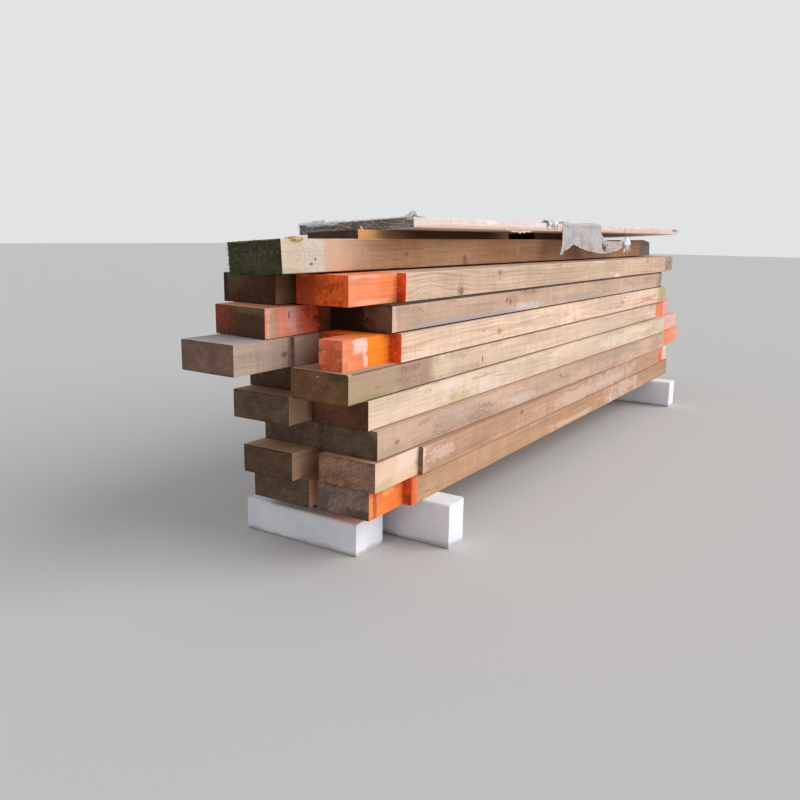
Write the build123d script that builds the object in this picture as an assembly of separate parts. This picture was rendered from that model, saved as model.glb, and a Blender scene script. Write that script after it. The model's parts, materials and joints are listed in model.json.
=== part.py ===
"""Stack of sawn timber beams on bearer blocks, with boards and torn film on top.

Millimetres, +Z up. X runs along the beams from the near end, Y from the front
column to the back one. The pieces are laid out from the near end of the third
front beam, and moved together at the end, so that the origin is at the middle
of the stack's footprint, on the floor.
"""
import os
from dataclasses import dataclass
from math import asin, degrees, radians, tan

from build123d import *

# Beams, as sawn
BEAM_THICKNESS = 80.0
BEAM_WIDTH = 200.0
BEAM_ARRIS = 2.0
BACK_SHRINKAGE = 0.7

# Bearer blocks, all of one section
BEARER_HEIGHT = 130.0
BEARER_WIDTH = 95.0
BEARER_LENGTH = 600.0
BEARER_ARRIS = 4.0
BEARER_WORN_CORNER = 11.0
NEAR_BEARER_LENGTH = 400.0
NEAR_BEARER_AT = (12.0, 76.0)
FRONT_BEARER_AT = (208.0, -105.0)
FAR_BEARER_AT = (2562.0, -108.0)

# Packing strip between the low bearer and the beams
PACKING_WIDTH = 60.0
PACKING_INSET_X = 50.0
PACKING_INSET_Y = 20.0
PACKING_TAIL = 16.0

# Beam across both columns, leaning back a little
TOP_BEAM_THICKNESS = 84.0
TOP_BEAM_WIDTH = 180.0
TOP_BEAM_LENGTH = 3110.0
TOP_BEAM_NEAR_X = -190.0
TOP_BEAM_BEARING = 96.0
TOP_BEAM_CUT = 2.0
TOP_BEAM_WORN_EDGE = 14.0
TOP_BEAM_WORN_LENGTH = 120.0

# Boards and panel on the top beam
BOARD_THICKNESS = 28.0
BOARD_WIDTH = 180.0
BOARD_SETBACK = 40.0
NEAR_BOARD_X = 183.0
NEAR_BOARD_LENGTH = 980.0
FAR_BOARD_X = 1408.0
FAR_BOARD_LENGTH = 832.0
PANEL_THICKNESS = 30.0
PANEL_WIDTH = 415.0
PANEL_LENGTH = 2938.0
PANEL_NEAR_X = 288.0
PANEL_OVERHANG = 79.0

# Torn plastic film
FILM_THICKNESS = 2.0
FILM_CLEARANCE = 0.3
WRAP_LAP = 85.0
SCRAP_X = 1239.0
SCRAP_LENGTH = 132.0
SCRAP_LAP = 60.0
SCRAP_DROP = 24.0
FLAP_X = 1410.0
FLAP_LENGTH = 453.0
FLAP_LAP = 70.0

# The flap's torn lower edge, as (along it, above the panel's underside)
FLAP_TORN_EDGE = [
    (0, 0), (-27, -94), (38, -74), (109, -52), (295, -79), (537, -92), (727, -72),
    (805, -104), (838, -60), (804, -18), (747, -32), (539, -38), (485, -28), (FLAP_LENGTH, 0),
]


@dataclass
class Rebate:
    """A step sawn out of one end of a beam, on its front or its back side."""

    length: float
    depth: float
    end: str = "near"
    side: str = "front"


@dataclass
class Beam:
    """One beam: where its near front corner lies, and how it is cut."""

    x: float
    y: float
    length: float
    yaw: float = 0.0
    cut: float = 0.0
    rebates: tuple = ()
    arris: float = BEAM_ARRIS


FRONT_BEAMS = [
    Beam(-24, -18, 2873, yaw=0.15, rebates=(Rebate(170, 27),)),
    Beam(-24, -25, 2924, yaw=0.3, rebates=(Rebate(218, 15), Rebate(215, 20, end="far"))),
    Beam(0, 0, 3100, yaw=-0.35, rebates=(Rebate(220, 14, side="back"), Rebate(370, 22, end="far"))),
    Beam(-12, 21, 3112, yaw=-0.4, rebates=(Rebate(215, 11, side="back"), Rebate(320, 22, end="far"))),
    Beam(-93, 26, 3093, rebates=(Rebate(225, 14, side="back"), Rebate(320, 22, end="far")), arris=4.0),
    Beam(-76, 22, 2945, yaw=0.2, rebates=(Rebate(219, 35), Rebate(125, 90, side="back"))),
    Beam(116, 35, 2693, yaw=0.15, arris=5.0),
    Beam(-27, 46, 3147, rebates=(Rebate(226, 29), Rebate(230, 25, end="far"))),
]

BACK_BEAMS = [
    Beam(-30, 205, 2930, yaw=0.1),
    Beam(-64, 212, 2990, rebates=(Rebate(215, 24),)),
    Beam(22, 208, 2900, yaw=0.1),
    Beam(-80, 231, 3010, rebates=(Rebate(230, 22, end="far"),)),
    Beam(-12, 236, 2890, yaw=0.1, cut=1.5),
    Beam(-275, 225, 3080, yaw=0.2, cut=2.5, rebates=(Rebate(215, 12),)),
    Beam(-155, 242, 3020, yaw=0.25, cut=8.0),
    Beam(-66, 283, 3040, yaw=-0.3, cut=3.5),
]


def slab(length, width, thickness):
    """A box from its near, front, bottom corner."""
    return Box(length, width, thickness, align=(Align.MIN, Align.MIN, Align.MIN))


def sawn(length, width, thickness, arris):
    """A sawn length of timber, with its long edges just eased."""
    body = slab(length, width, thickness)
    return chamfer(body.edges().filter_by(Axis.X), arris)


def rebate(body, step, length, width, thickness):
    """Saw one step out of a beam of this length and width."""
    x = 0.0 if step.end == "near" else length - step.length
    y = 0.0 if step.side == "front" else width - step.depth
    return body - Pos(x, y, 0) * slab(step.length, step.depth, thickness)


def skew_cut(body, angle, width, thickness):
    """Saw the near end off square by an angle, about its front corner."""
    if angle == 0:
        return body
    run = width * tan(radians(angle))
    waste = make_face(Polyline((0, 0), (run, width), (0, width), close=True))
    return body - extrude(waste, thickness, dir=(0, 0, 1))


def beam(item, thickness, width=BEAM_WIDTH):
    """One beam in its own frame, from its near front bottom corner."""
    body = sawn(item.length, width, thickness, item.arris)
    for step in item.rebates:
        body = rebate(body, step, item.length, width, thickness)
    return skew_cut(body, item.cut, width, thickness)


def column(items, name, thickness):
    """Beams laid flat one on another on the bearers, numbered from the bottom."""
    placed = {}
    for layer, item in enumerate(items):
        level = BEARER_HEIGHT + layer * thickness
        place = Pos(item.x, item.y, level) * Rot(0, 0, item.yaw)
        placed[f"{name}_{layer + 1}"] = place * beam(item, thickness)
    return placed


def block(length, width, height):
    """A bearer block lying along Y, with its long edges worn."""
    body = slab(width, length, height)
    return chamfer(body.edges().filter_by(Axis.Y), BEARER_ARRIS)


def bearers():
    """Two blocks on edge and a lower one laid flat, all standing on the floor."""
    upright = block(BEARER_LENGTH, BEARER_WIDTH, BEARER_HEIGHT)
    end_corner = upright.edges().filter_by(Axis.Z).group_by(Axis.Y)[0].sort_by(Axis.X)[-1]
    worn = chamfer(end_corner, BEARER_WORN_CORNER)
    flat = block(NEAR_BEARER_LENGTH, BEARER_HEIGHT, BEARER_WIDTH)
    return {
        "bearer_near": Pos(*NEAR_BEARER_AT, 0) * flat,
        "bearer_front": Pos(*FRONT_BEARER_AT, 0) * worn,
        "bearer_far": Pos(*FAR_BEARER_AT, 0) * upright,
    }


def packing_strip():
    """A strip on the low bearer, which brings it up to the beams."""
    x, y = NEAR_BEARER_AT
    length = NEAR_BEARER_LENGTH - PACKING_INSET_Y - PACKING_TAIL
    strip = slab(PACKING_WIDTH, length, BEARER_HEIGHT - BEARER_WIDTH)
    return Pos(x + PACKING_INSET_X, y + PACKING_INSET_Y, BEARER_WIDTH) * strip


front_top = BEARER_HEIGHT + len(FRONT_BEAMS) * BEAM_THICKNESS
back_thickness = BEAM_THICKNESS - BACK_SHRINKAGE
back_top = BEARER_HEIGHT + len(BACK_BEAMS) * back_thickness
column_back = FRONT_BEAMS[-1].y + BEAM_WIDTH
lean = degrees(asin((front_top - back_top) / (TOP_BEAM_WIDTH - TOP_BEAM_BEARING)))


def leaning(x, across, above):
    """A place on the leaning top beam: along it, across it from its front
    bottom edge, and above its underside."""
    pivot = Pos(0, column_back, front_top) * Rot(-lean, 0, 0)
    return pivot * Pos(x, across - TOP_BEAM_BEARING, above)


def top_beam():
    """The beam across both columns, with its far upper edge worn away."""
    body = sawn(TOP_BEAM_LENGTH, TOP_BEAM_WIDTH, TOP_BEAM_THICKNESS, BEAM_ARRIS)
    body = skew_cut(body, TOP_BEAM_CUT, TOP_BEAM_WIDTH, TOP_BEAM_THICKNESS)
    wear = [(0, 0), (TOP_BEAM_WORN_LENGTH, 0), (TOP_BEAM_WORN_LENGTH, -TOP_BEAM_WORN_EDGE)]
    wedge = extrude(Plane.XZ * make_face(Polyline(*wear, close=True)), -TOP_BEAM_WIDTH)
    end = TOP_BEAM_LENGTH - TOP_BEAM_WORN_LENGTH
    body = body - Pos(end, 0, TOP_BEAM_THICKNESS) * wedge
    return leaning(TOP_BEAM_NEAR_X, 0, 0) * body


def boards():
    """Two boards along the top beam, and the wide panel that lies on them."""
    board_level = TOP_BEAM_THICKNESS
    panel_level = board_level + BOARD_THICKNESS
    near = sawn(NEAR_BOARD_LENGTH, BOARD_WIDTH, BOARD_THICKNESS, BEAM_ARRIS / 2)
    far = sawn(FAR_BOARD_LENGTH, BOARD_WIDTH, BOARD_THICKNESS, BEAM_ARRIS / 2)
    panel = sawn(PANEL_LENGTH, PANEL_WIDTH, PANEL_THICKNESS, BEAM_ARRIS / 2)
    return {
        "under_board_near": leaning(NEAR_BOARD_X, BOARD_SETBACK, board_level) * near,
        "under_board_far": leaning(FAR_BOARD_X, BOARD_SETBACK, board_level) * far,
        "top_panel": leaning(PANEL_NEAR_X, -PANEL_OVERHANG, panel_level) * panel,
    }


def film_wrap():
    """Film folded over the panel's near end, above and in front of it."""
    gap = FILM_CLEARANCE
    skin = FILM_THICKNESS + gap
    level = TOP_BEAM_THICKNESS + BOARD_THICKNESS
    outer = Pos(-skin, -skin, gap) * slab(WRAP_LAP + skin, PANEL_WIDTH + skin, PANEL_THICKNESS + skin - gap)
    inner = Pos(-gap, -gap, 0) * slab(WRAP_LAP + 2 * skin, PANEL_WIDTH + 2 * skin, PANEL_THICKNESS + gap)
    front = slab(WRAP_LAP + 2 * skin, 2 * skin, PANEL_THICKNESS)
    shape = outer - inner - Pos(0, -2 * skin, 0) * front
    return leaning(PANEL_NEAR_X, -PANEL_OVERHANG, level) * shape


def over_edge(length, lap, drop):
    """Film folded over the panel's front edge: from the panel's underside up,
    it reaches down by a drop and back over the top by a lap."""
    top = PANEL_THICKNESS + FILM_CLEARANCE
    outside = -FILM_CLEARANCE - FILM_THICKNESS
    lying = Pos(0, outside, top) * slab(length, lap - outside, FILM_THICKNESS)
    hanging = Pos(0, outside, -drop) * slab(length, FILM_THICKNESS, top + drop)
    return lying + hanging


def film_scrap():
    """A scrap of film caught on the panel's front edge."""
    level = TOP_BEAM_THICKNESS + BOARD_THICKNESS
    scrap = over_edge(SCRAP_LENGTH, SCRAP_LAP, SCRAP_DROP - PANEL_THICKNESS)
    return leaning(SCRAP_X, -PANEL_OVERHANG, level) * scrap


def film_flap():
    """Film that laps onto the panel and hangs, torn, in front of its edge."""
    level = TOP_BEAM_THICKNESS + BOARD_THICKNESS
    lap = over_edge(FLAP_LENGTH, FLAP_LAP, 0)
    torn = Plane.XZ * make_face(Polyline(*FLAP_TORN_EDGE, close=True))
    hanging = Pos(0, -FILM_CLEARANCE, 0) * extrude(torn, FILM_THICKNESS)
    return leaning(FLAP_X, -PANEL_OVERHANG, level) * (lap + hanging)


def stack():
    """Every piece of the stack, by name."""
    pieces = bearers()
    pieces["packing_strip"] = packing_strip()
    pieces.update(column(FRONT_BEAMS, "beam_front", BEAM_THICKNESS))
    pieces.update(column(BACK_BEAMS, "beam_back", back_thickness))
    pieces["beam_top"] = top_beam()
    pieces.update(boards())
    pieces["film_wrap"] = film_wrap()
    pieces["film_scrap"] = film_scrap()
    pieces["film_flap"] = film_flap()
    return pieces


def main():
    pieces = stack()
    box = Compound(list(pieces.values())).bounding_box()
    middle = Pos(-box.center().X, -box.center().Y, -box.min.Z)
    os.makedirs("parts", exist_ok=True)
    for name, shape in pieces.items():
        export_step(middle * shape, f"parts/{name}.step")


main()
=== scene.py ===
"""Looks of a stack of sawn timber beams on white bearer blocks, with boards,
a panel and torn film on top.

Metres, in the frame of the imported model: +X runs along the beams from their
near ends, +Y from the front column to the back one, +Z up. Places on a single
beam are in millimetres, from its near, front, bottom corner.
"""
import json
import math
import random
from dataclasses import dataclass, field

import bpy
from mathutils import Matrix, Vector, noise

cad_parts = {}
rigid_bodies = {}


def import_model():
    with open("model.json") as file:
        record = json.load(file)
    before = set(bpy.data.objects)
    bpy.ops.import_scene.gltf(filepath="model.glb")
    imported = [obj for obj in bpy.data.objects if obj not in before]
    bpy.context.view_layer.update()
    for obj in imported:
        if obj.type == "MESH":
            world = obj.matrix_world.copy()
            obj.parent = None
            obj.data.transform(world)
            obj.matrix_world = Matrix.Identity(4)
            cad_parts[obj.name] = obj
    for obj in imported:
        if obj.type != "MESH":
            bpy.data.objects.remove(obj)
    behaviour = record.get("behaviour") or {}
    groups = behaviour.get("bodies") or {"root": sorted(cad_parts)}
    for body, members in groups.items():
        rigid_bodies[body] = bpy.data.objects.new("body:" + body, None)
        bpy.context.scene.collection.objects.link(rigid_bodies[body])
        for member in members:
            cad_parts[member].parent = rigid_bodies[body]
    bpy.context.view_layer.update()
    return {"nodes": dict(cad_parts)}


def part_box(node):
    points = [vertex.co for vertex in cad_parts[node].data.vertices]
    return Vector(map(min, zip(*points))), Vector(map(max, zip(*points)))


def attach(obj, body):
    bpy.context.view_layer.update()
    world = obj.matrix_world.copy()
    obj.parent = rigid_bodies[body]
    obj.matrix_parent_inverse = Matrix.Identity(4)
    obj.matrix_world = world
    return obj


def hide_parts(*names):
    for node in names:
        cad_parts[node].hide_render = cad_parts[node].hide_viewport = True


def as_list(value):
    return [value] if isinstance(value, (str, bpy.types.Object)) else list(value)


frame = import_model()

MM = 0.001

# Camera, as fitted to the photograph, from the third front beam's low corner
CAMERA_OFFSET = Vector((-1.6614, -1.1109, 0.5875))
CAMERA_HEADING = math.radians(32.54)
CAMERA_PITCH = math.radians(11.85)
CAMERA_ROLL = math.radians(0.9)
CAMERA_LENS = 35.84
SENSOR_WIDTH = 36.0

# Beams and panel, as sawn
BEAM_WIDTH = 0.200
TOP_BEAM_WIDTH = 0.179
TOP_BEAM_THICKNESS = 0.084
PANEL_WIDTH = 0.415
PANEL_THICKNESS = 0.030

# How far sawn and cast edges are rounded
BEAM_ROUNDING = 0.0012
BOARD_ROUNDING = 0.0008
BEARER_ROUNDING = 0.003

# How softly paint begins and ends, and the painted shade, with some dirt, where two beams touch
PAINT_FADE = (0.004, 0.008)
CONTACT_FADE = 0.004
LEAST_LEDGE = 0.004

# Light, background and floor
SKY_COLOUR = (0.96, 0.97, 1.0, 1.0)
SKY_STRENGTH = 0.56
BACKGROUND = 0xE2E3E5
SUN_STRENGTH = 2.35
SUN_SPREAD = math.radians(55)
SUN_FROM = Vector((0.40, -0.78, 0.52))
FLOOR_SIZE = 80.0
FLOOR_COLOUR = 0xC8C6C5


def rgb(code):
    """A colour written as it shows on screen, 0xRRGGBB, as a linear colour."""
    def linear(value):
        part = value / 255
        return part / 12.92 if part <= 0.04045 else ((part + 0.055) / 1.055) ** 2.4
    return (linear(code >> 16), linear(code >> 8 & 0xFF), linear(code & 0xFF), 1.0)


class Tree:
    """Short calls that make shader nodes.

    A value is a number, a vector, a socket, or a colour, as 0xRRGGBB or linear.
    """

    def __init__(self, tree):
        self.tree = tree

    def node(self, kind, **settings):
        made = self.tree.nodes.new(kind)
        for key, value in settings.items():
            setattr(made, key, value)
        return made

    def feed(self, socket, value):
        if isinstance(value, bpy.types.NodeSocket):
            self.tree.links.new(value, socket)
        elif value is not None:
            is_code = socket.type == "RGBA" and isinstance(value, int)
            socket.default_value = rgb(value) if is_code else value

    def fed(self, kind, values, **settings):
        """A node of a kind, with values for its first sockets."""
        made = self.node(kind, **settings)
        for socket, value in zip(made.inputs, values):
            self.feed(socket, value)
        return made

    def place(self):
        """The shaded point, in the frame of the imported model."""
        return self.node("ShaderNodeTexCoord").outputs["Object"]

    def math(self, operation, a, b=None, c=None, clamp=False):
        return self.fed("ShaderNodeMath", (a, b, c), operation=operation, use_clamp=clamp).outputs[0]

    def scaled(self, value, factor, plus):
        """Value times a factor, and a number or value more."""
        return self.math("MULTIPLY_ADD", value, factor, plus)

    def times(self, *values):
        product = values[0]
        for value in values[1:]:
            product = self.math("MULTIPLY", product, value)
        return product

    def vector(self, operation, a, b=None, c=None):
        made = self.fed("ShaderNodeVectorMath", (a, b, c), operation=operation)
        return made.outputs["Value" if operation in ("LENGTH", "DOT_PRODUCT") else "Vector"]

    def split(self, vector):
        return self.fed("ShaderNodeSeparateXYZ", (vector,)).outputs

    def join(self, x, y, z):
        return self.fed("ShaderNodeCombineXYZ", (x, y, z)).outputs[0]

    def noise(self, position, stretch=(1, 1, 1), scale=1.0, detail=2.0, roughness=0.5, output="Fac"):
        made = self.node("ShaderNodeTexNoise")
        self.feed(made.inputs["Vector"], self.vector("MULTIPLY", position, stretch))
        made.inputs["Scale"].default_value = scale
        made.inputs["Detail"].default_value = detail
        made.inputs["Roughness"].default_value = roughness
        return made.outputs[output]

    def span(self, value, low, high, to_low=0.0, to_high=1.0):
        """Value from low to high, as a smooth step from to_low to to_high."""
        values = (value, low, high, to_low, to_high)
        return self.fed("ShaderNodeMapRange", values, interpolation_type="SMOOTHSTEP").outputs[0]

    def band(self, value, middle, width):
        """1 where value is at middle, and 0 from a width away."""
        return self.span(self.math("ABSOLUTE", self.math("SUBTRACT", value, middle)), 0.0, width, 1.0, 0.0)

    def mix(self, factor, a, b, mode="MIX"):
        made = self.node("ShaderNodeMix", data_type="RGBA", blend_type=mode)
        self.feed(made.inputs[0], factor)
        self.feed(made.inputs[6], a)
        self.feed(made.inputs[7], b)
        return made.outputs[2]

    def shade(self, colour, factor):
        """Colour made lighter or darker by a factor."""
        return self.mix(1.0, colour, self.join(factor, factor, factor), "MULTIPLY")

    def group(self, tree, **values):
        made = self.node("ShaderNodeGroup", node_tree=tree)
        for key, value in values.items():
            self.feed(made.inputs[key], value)
        return made.outputs

    def bump(self, height, distance, strength=1.0):
        made = self.node("ShaderNodeBump")
        made.inputs["Strength"].default_value = strength
        made.inputs["Distance"].default_value = distance
        self.feed(made.inputs["Height"], height)
        return made.outputs[0]


def new_group(name, inputs, outputs):
    """A node group with the sockets given as name to kind."""
    made = bpy.data.node_groups.new(name, "ShaderNodeTree")
    kinds = {"value": "NodeSocketFloat", "vector": "NodeSocketVector", "colour": "NodeSocketColor"}
    for key, kind in inputs.items():
        made.interface.new_socket(key, in_out="INPUT", socket_type=kinds[kind])
    for key, kind in outputs.items():
        made.interface.new_socket(key, in_out="OUTPUT", socket_type=kinds[kind])
    tree = Tree(made)
    return tree, tree.node("NodeGroupInput").outputs, tree.node("NodeGroupOutput").inputs


def new_material(name, roughness, specular=0.25):
    """A material with its shader's plain settings, and the tree to add to."""
    material = bpy.data.materials.new(name)
    material.use_nodes = True
    surface = material.node_tree.nodes["Principled BSDF"]
    surface.inputs["Roughness"].default_value = roughness
    surface.inputs["Specular IOR Level"].default_value = specular
    return material, Tree(material.node_tree), surface


def timber_group():
    """Wood in three dimensions: rings round a wandering pith, with fibres along X."""
    inputs = {"Position": "vector", "Seed": "vector", "Pith": "vector", "Drift": "vector", "Ring": "value",
              "Lift": "value", "Contrast": "value", "Early": "colour", "Late": "colour"}
    outputs = {"Color": "colour", "Latewood": "value", "Fibre": "value", "Away": "vector"}
    tree, given, out = new_group("timber", inputs, outputs)
    position = given["Position"]
    seeded = tree.vector("ADD", position, given["Seed"])
    x = tree.split(position)[0]
    pith = tree.vector("MULTIPLY_ADD", tree.join(x, x, x), given["Drift"], given["Pith"])
    swing = tree.noise(seeded, (1.1, 0, 0), detail=1.0, output="Color")
    swing = tree.vector("SUBTRACT", swing, (0.5, 0.5, 0.5))
    pith = tree.vector("MULTIPLY_ADD", swing, (0, 0.06, 0.045), pith)
    bent = tree.vector("ADD", position, tree.join(0, 0, given["Lift"]))
    away = tree.vector("MULTIPLY", tree.vector("SUBTRACT", bent, pith), (0, 1, 1))
    ripple = tree.scaled(tree.noise(seeded, (3, 20, 20), detail=2.0), 0.008, -0.004)
    radius = tree.math("ADD", tree.vector("LENGTH", away), ripple)
    count = tree.math("DIVIDE", radius, given["Ring"])
    part = tree.math("FRACT", count)
    year = tree.math("FLOOR", count)
    late = tree.times(tree.span(part, 0.25, 0.88), tree.span(part, 0.88, 1.0, 1.0, 0.0))
    strength = tree.noise(tree.join(year, year, 0), (0.37, 0.61, 1), detail=0.0)
    strength = tree.span(strength, 0.3, 0.7, 0.35, 1.0)
    fade = tree.span(tree.noise(seeded, (1.7, 9, 11), detail=2.0), 0.36, 0.64, 0.2, 1.0)
    late = tree.times(late, strength)
    fibre = tree.noise(seeded, (9, 330, 330), detail=3.0, roughness=0.6)
    streak = tree.noise(seeded, (2.6, 75, 75), detail=2.0, roughness=0.6)
    broad = tree.noise(seeded, (1.6, 7, 12), detail=3.0, output="Color")
    tones = tree.split(broad)
    colour = tree.mix(tree.times(late, fade, given["Contrast"]), given["Early"], given["Late"])
    colour = tree.mix(tree.span(tones[1], 0.42, 0.7, 0.0, 0.3), colour, 0xBEA48C)
    colour = tree.shade(colour, tree.span(tones[0], 0.28, 0.72, 0.86, 1.07))
    colour = tree.shade(colour, tree.span(fibre, 0.2, 0.8, 0.88, 1.09))
    colour = tree.shade(colour, tree.span(streak, 0.3, 0.7, 0.93, 1.05))
    tree.feed(out["Color"], colour)
    tree.feed(out["Latewood"], late)
    tree.feed(out["Fibre"], fibre)
    tree.feed(out["Away"], away)
    return tree.tree


def knot_group():
    """A knot: how far the rings part round it, and where its own wood shows."""
    inputs = {"Position": "vector", "Centre": "vector", "Radius": "value"}
    outputs = {"Lift": "value", "Core": "value", "Rim": "value", "Halo": "value"}
    tree, given, out = new_group("knot", inputs, outputs)
    offset = tree.vector("SUBTRACT", given["Position"], given["Centre"])
    offset = tree.vector("MULTIPLY", offset, (0.6, 0, 1))
    distance = tree.math("DIVIDE", tree.vector("LENGTH", offset), given["Radius"])
    wave = tree.noise(given["Position"], (70, 70, 70), detail=2.0)
    rough = tree.math("ADD", distance, tree.scaled(wave, 0.7, -0.35))
    depth = tree.span(tree.split(given["Position"])[1], 0.05, 0.09, 1.0, 0.0)
    square = tree.scaled(distance, distance, 0.35)
    parted = tree.math("DIVIDE", tree.times(tree.split(offset)[2], -1.7), square)
    tree.feed(out["Lift"], tree.times(parted, depth))
    tree.feed(out["Core"], tree.times(tree.span(rough, 0.7, 1.0, 1.0, 0.0), depth))
    tree.feed(out["Rim"], tree.times(tree.band(rough, 1.0, 0.3), depth))
    tree.feed(out["Halo"], tree.times(tree.span(rough, 1.0, 2.6, 1.0, 0.0), depth))
    return tree.tree


TIMBER = timber_group()
KNOT = knot_group()


@dataclass
class Knot:
    """A knot on a beam's front face: place along it and up it, and radius.

    One that doesn't show lies behind the face, and only bends the rings.
    """

    x: float
    z: float
    radius: float
    shows: float = 1.0


@dataclass
class Patch:
    """A stain: its middle and half sizes on a beam's front face, or on its near
    end, where the first of them runs from the front to the back.

    tear makes its edge ragged, grain is how finely, and specks breaks it up.
    """

    across: float
    up: float
    half_across: float
    half_up: float
    colour: int
    strength: float = 0.6
    grain: float = 30.0
    tear: float = 2.6
    specks: float = 0.0
    face: str = "front"


@dataclass
class Paint:
    """Paint on a stretch of a beam, from one place along it to another.

    It turns from its first colour to its second along the stretch. ends says
    how much of it is on the sawn ends.
    """

    start: float
    end: float
    colour: int
    turning: int = None
    strength: float = 1.0
    ends: float = 1.0
    end_colour: int = None
    smears: list = field(default_factory=list)


@dataclass
class Look:
    """How one piece of timber looks: tones, heart, knots, stains, end and paint."""

    early: int
    late: int
    heart: tuple = (0.10, -0.03)
    drift: tuple = (0.0, 0.0)
    ring: float = 7.0
    contrast: float = 0.55
    grime: float = 0.35
    end: int = 0x785C46
    saw: float = 0.02
    # How dark a narrow ledge in front of the beam above is painted, as shade under that beam
    ledge_shade: float = 0.12
    end_rings: float = 0.5
    end_scratch: float = 0.3
    end_checks: float = 0.3
    scratch_angle: float = 30.0
    top: int = None
    knots: list = field(default_factory=list)
    patches: list = field(default_factory=list)
    paints: list = field(default_factory=list)


DEEP_ORANGE = 0xD65422
PINK = 0xECAA9C
WHITE_PAINT = 0xF4D0C6
YELLOW_GREEN = 0xBAB270
PALE_GREEN = 0xCCCEBA
GREY = 0x9E9694
BLUE_GREY = 0xA6A0A8
DARK = 0x4E4038
BLACK = 0x1A1411
CHALK = 0xECE2DC
OLIVE = 0x968E5C
BROWN = 0x92705A


def end_patch(across, up, half_across, half_up, colour, strength=0.7, **settings):
    """A stain on a beam's near end."""
    return Patch(across, up, half_across, half_up, colour, strength, face="end", **settings)


def flecks(strength, *places):
    """Small dark marks on a front face, each given by its middle and half sizes."""
    return [Patch(*place, DARK, strength, 200) for place in places]


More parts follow.
